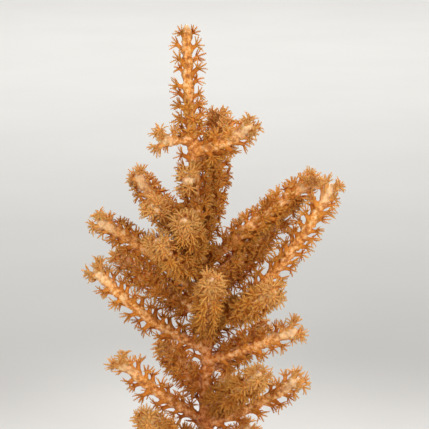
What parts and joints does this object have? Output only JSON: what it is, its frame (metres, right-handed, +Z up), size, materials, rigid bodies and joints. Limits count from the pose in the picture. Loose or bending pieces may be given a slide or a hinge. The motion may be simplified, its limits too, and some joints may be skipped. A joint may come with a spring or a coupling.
{
  "type": "gorgonian coral",
  "caption": "Upright bushy gorgonian coral: a slim stem on a flat-cut holdfast, with rising side branches covered in rows of open polyps.",
  "frame": {"origin": "centre of the stem's foot, on the flat cut face under the holdfast", "axes": "+Z up along the stem to its growing tip, -Y towards the viewer of the picture, +X to the viewer's right"},
  "size_m": [0.052, 0.0426, 0.0997],
  "materials": {
    "stem_flesh": "moist satin living tissue",
    "branch_flesh": "moist satin living tissue with pale polyps"
  },
  "bodies": {
    "root": {"stem_and_holdfast": "stem_flesh", "branch_lowest_right_back": "branch_flesh", "branch_lowest_left_front": "branch_flesh", "branch_lowest_back": "branch_flesh", "branch_low_right": "branch_flesh", "branch_low_left": "branch_flesh", "branch_low_right_front": "branch_flesh", "branch_low_left_back": "branch_flesh", "branch_mid_right_back": "branch_flesh", "branch_mid_right": "branch_flesh", "branch_mid_left": "branch_flesh", "branch_long_right": "branch_flesh", "branch_mid_front": "branch_flesh", "branch_mid_left_back": "branch_flesh", "branch_mid_right_front": "branch_flesh", "branch_high_left": "branch_flesh", "branch_high_right_back": "branch_flesh", "branch_inner_right": "branch_flesh", "branch_high_left_front": "branch_flesh", "branch_high_back": "branch_flesh", "branch_high_right": "branch_flesh", "branch_high_front": "branch_flesh", "branch_riser_back": "branch_flesh", "branch_upper_left_back": "branch_flesh", "branch_upper_left_front": "branch_flesh", "branch_top_left_front": "branch_flesh", "branch_top_right_back": "branch_flesh", "branch_top_right": "branch_flesh", "branch_top_left": "branch_flesh"}
  },
  "joints": []
}
